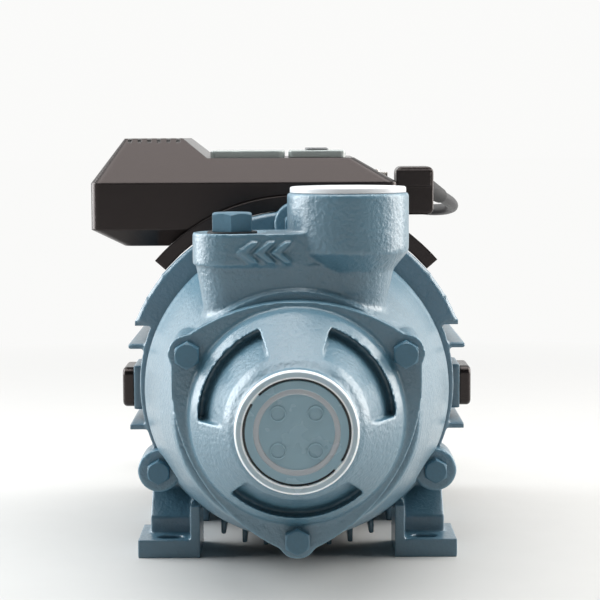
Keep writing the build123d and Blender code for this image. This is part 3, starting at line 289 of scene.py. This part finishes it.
def cap_plastic():
    """Translucent cap: a clear bluish middle with one pale ring, inside a whiter rim with two lips."""
    g = Graph("cap_plastic")
    radius = g.off_shaft()[1]
    rim = g.remap(radius, 0.0208, 0.0216, 0.0, 1.0)
    ring = g.band(radius, RING_INNER, RING_OUTER)
    haze = g.noise(90, 2.0)
    middle = g.blend(haze, (0.245, 0.385, 0.455, 1), (0.275, 0.415, 0.485, 1))
    middle = g.blend(ring, middle, (0.44, 0.47, 0.50, 1))
    lips = g.maths("ADD", g.remap(radius, 0.0238, 0.0241, 0, 1), g.remap(radius, 0.0220, 0.0223, 1, 0))
    edge = g.blend(lips, (0.42, 0.52, 0.57, 1), (0.86, 0.90, 0.92, 1))
    g.feed(g.shader.inputs["Base Color"], g.blend(rim, middle, edge))
    g.feed(g.shader.inputs["Roughness"], g.remap(haze, 0.3, 0.7, 0.2, 0.3))
    g.shader.inputs["Subsurface Weight"].default_value = 0.35
    g.shader.inputs["Subsurface Radius"].default_value = (0.004, 0.005, 0.006)
    g.shader.inputs["Subsurface Scale"].default_value = 0.5
    g.shader.inputs["Transmission Weight"].default_value = 0.06
    g.bump(g.noise(300), 0.00003, 0.0004)
    return g


MATERIALS["cap_plastic"] = cap_plastic()

for part in frame["record"]["subparts"]:
    mesh = NODES[part["node"]].data
    mesh.materials.clear()
    mesh.materials.append(MATERIALS[part["material_slot"]].mat)


# ---- castings with eased edges -------------------------------------------
def soften(piece, group, rounds):
    """Smooth a piece, fully or where its vertex group has weight."""
    smooth = piece.modifiers.new("ease", "SMOOTH")
    smooth.factor = 0.5
    smooth.iterations = rounds
    if group:
        smooth.vertex_group = group


def bake(piece):
    """Make the piece's modifiers permanent."""
    evaluated = piece.evaluated_get(bpy.context.evaluated_depsgraph_get())
    mesh = bpy.data.meshes.new_from_object(evaluated)
    piece.modifiers.clear()
    piece.data = mesh


def cast_copy(node, name, slot, voxel, rounds, blends=()):
    """A copy of a CAD node as a casting: every edge eased, and named zones blended further."""
    piece = link(bpy.data.objects.new(name, NODES[node].data.copy()))
    skin = piece.modifiers.new("skin", "REMESH")
    skin.mode = "VOXEL"
    skin.voxel_size = voxel
    bake(piece)
    for low, high, fade, strong in blends:
        zone = piece.vertex_groups.new(name="zone")
        for v in piece.data.vertices:
            inside = min(min((c - a) / fade, (b - c) / fade) for c, a, b in zip(v.co, low, high))
            if inside > 0:
                zone.add([v.index], min(1.0, inside), "REPLACE")
        soften(piece, "zone", strong)
        bake(piece)
        piece.vertex_groups.clear()
    soften(piece, "", rounds)
    bake(piece)
    piece.data.materials.clear()
    piece.data.materials.append(MATERIALS[slot].mat)
    for face in piece.data.polygons:
        face.use_smooth = True
    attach(piece, "pump")
    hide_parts(node)
    return piece


VOXEL = 0.0007
# each zone: its low and high corners, the width of its fade and the rounds of smoothing
NECK_ZONES = [
    ((-0.060, -0.1345, 0.112), (0.060, -0.070, 0.1405), 0.008, 40),
    ((0.004, -0.1345, 0.1425), (0.060, -0.070, 0.1525), 0.003, 16),
]
cast_copy("pump_casing", "casing_body", "cast_paint", VOXEL, 3, NECK_ZONES)
cover = cast_copy("front_cover", "cover_body", "cast_paint", VOXEL, 2)
cover.data.materials[0] = COVER_PAINT.mat
cast_copy("motor_frame", "frame_body", "frame_paint", VOXEL, 1)

# ---- mains cord ----------------------------------------------------------
# route in millimetres: from the boot over the fan cover to the coil, and from the coil to the plug
CORD_R = 0.003
LEAD = [
    (71.4, 11.2, 166.1), (80.9, 31.5, 160.9), (79.5, 56.0, 157.5), (70.5, 79.5, 156.0),
    (58.5, 101.5, 157.5), (52.5, 119.2, 157.1), (48.8, 134.3, 148.7), (48.0, 144.1, 132.6),
    (48.0, 146.5, 109.0), (48.3, 146.5, 89.0), (48.2, 145.5, 70.0), (48.0, 145.6, 50.0),
    (48.0, 154.7, 34.4), (48.0, 170.3, 25.4), (48.0, 187.9, 23.0),
]
TAIL = [(3.0, 223.7, 21.0), (-12.0, 220.2, 18.5), (-25.5, 212.7, 16.0), (-36.0, 201.5, 16.0)]
COIL_X, COIL_Y = 18.0, 188.2
INNER, OUTER = 29.9, 36.1
PITCH_Z = 6.31
STEPS = 16
# the curve runs inside its control points, so they stand out by this factor
PULL = 1 / math.cos(math.pi / STEPS)
# turns at which the cord joins the inner layer, reaches the floor, has stepped out, and leaves
ENTRY, DOWN, STEP_OUT, LEAVE = 0.25, 3.15, 3.40, 6.25
FLOOR_TURN_Z = 3.0
ENTRY_DROP = 1.7


def coil_point(turns):
    """Centre of the cord after so many turns: down the inner layer, out, and up the outer one."""
    if turns < ENTRY:
        above_layer = (ENTRY - turns) / ENTRY * ENTRY_DROP
        radius, z = INNER, FLOOR_TURN_Z + PITCH_Z * (DOWN - ENTRY) + above_layer
    elif turns < DOWN:
        radius, z = INNER, FLOOR_TURN_Z + PITCH_Z * (DOWN - turns)
    elif turns < STEP_OUT:
        radius, z = INNER + (OUTER - INNER) * (turns - DOWN) / (STEP_OUT - DOWN), FLOOR_TURN_Z
    else:
        radius, z = OUTER, FLOOR_TURN_Z + PITCH_Z * (turns - STEP_OUT)
    a = 2 * math.pi * turns
    return COIL_X + radius * PULL * math.cos(a), COIL_Y + radius * PULL * math.sin(a), z


route = list(LEAD)
for step in range(1, int(LEAVE * STEPS) + 1):
    route.append(coil_point(step / STEPS))
route += TAIL
line = bpy.data.curves.new("mains_cord", "CURVE")
line.dimensions = "3D"
line.resolution_u = 5
spline = line.splines.new("NURBS")
spline.points.add(len(route) - 1)
for point, (x, y, z) in zip(spline.points, route):
    point.co = (x / 1000, y / 1000, z / 1000, 1)
spline.order_u = 3
spline.use_endpoint_u = True
flex = link(bpy.data.objects.new("mains_cord", line))
bpy.context.view_layer.update()
centre = bpy.data.meshes.new_from_object(flex.evaluated_get(bpy.context.evaluated_depsgraph_get()))
bpy.data.meshes.remove(centre)
line.bevel_depth = CORD_R
line.bevel_resolution = 5
line.use_fill_caps = True
line.materials.append(MATERIALS["cord"].mat)
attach(flex, "pump")
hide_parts("cord_lead", "cord_coil", "cord_tail")

# ---- stage: floor, world and lights --------------------------------------
FLOOR_HALF = 14.0
# the floor is shaded paper near the pump and fades into the bright surroundings
FADE_FROM, FADE_TO = 0.12, 0.85
floor_mesh = bpy.data.meshes.new("floor")
corners = [(x * FLOOR_HALF, y * FLOOR_HALF, 0) for x, y in ((-1, -1), (1, -1), (1, 1), (-1, 1))]
floor_mesh.from_pydata(corners, [], [(0, 1, 2, 3)])
floor = link(bpy.data.objects.new("floor", floor_mesh))
ground = Graph("floor")
distance = ground.node("ShaderNodeVectorMath", operation="LENGTH")
ground.join(ground.place, distance.inputs[0])
paper = ground.blend(ground.noise(3.0), (0.50, 0.50, 0.49, 1), (0.53, 0.53, 0.52, 1))
ground.feed(ground.shader.inputs["Base Color"], paper)
ground.feed(ground.shader.inputs["Roughness"], ground.remap(ground.noise(40), 0.3, 0.7, 0.55, 0.65))
ground.shader.inputs["Specular IOR Level"].default_value = 0.2
glow = ground.node("ShaderNodeEmission")
glow.inputs["Color"].default_value = (0.955, 0.955, 0.945, 1)
fade = ground.node("ShaderNodeMixShader")
ground.feed(fade.inputs["Fac"], ground.remap(distance.outputs["Value"], FADE_FROM, FADE_TO, 0, 1))
ground.join(ground.shader.outputs[0], fade.inputs[1])
ground.join(glow.outputs[0], fade.inputs[2])
ground.join(fade.outputs[0], ground.tree.nodes["Material Output"].inputs["Surface"])
floor_mesh.materials.append(ground.mat)

# bright behind the pump and dim behind the camera, blended over a narrow range of directions
TURN_OVER = 0.30
DIM, BRIGHT = 0.06, 0.96
world = bpy.data.worlds.new("studio")
bpy.context.scene.world = world
world.use_nodes = True
sky = world.node_tree
coords = sky.nodes.new("ShaderNodeTexCoord")
parts = sky.nodes.new("ShaderNodeSeparateXYZ")
sky.links.new(coords.outputs["Generated"], parts.inputs[0])
toward_back = sky.nodes.new("ShaderNodeMapRange")
limits = {"From Min": -TURN_OVER, "From Max": TURN_OVER, "To Min": DIM, "To Max": BRIGHT}
for key, number in limits.items():
    toward_back.inputs[key].default_value = number
sky.links.new(parts.outputs["Y"], toward_back.inputs["Value"])
sky.links.new(toward_back.outputs["Result"], sky.nodes["Background"].inputs["Strength"])
sky.nodes["Background"].inputs["Color"].default_value = (1.0, 1.0, 0.99, 1)

LIT_POINT = (0, -0.08, 0.10)
area("left_box", (-1.0, 0.16, 0.45), LIT_POINT, 0.8, 1.0, 19, (0.95, 0.98, 1.0))
area("right_box", (1.0, 0.16, 0.45), LIT_POINT, 0.8, 1.0, 16, (1.0, 0.97, 0.94))
area("top_box", (0, -0.16, 1.15), LIT_POINT, 1.3, 0.9, 14, (1.0, 1.0, 1.0))
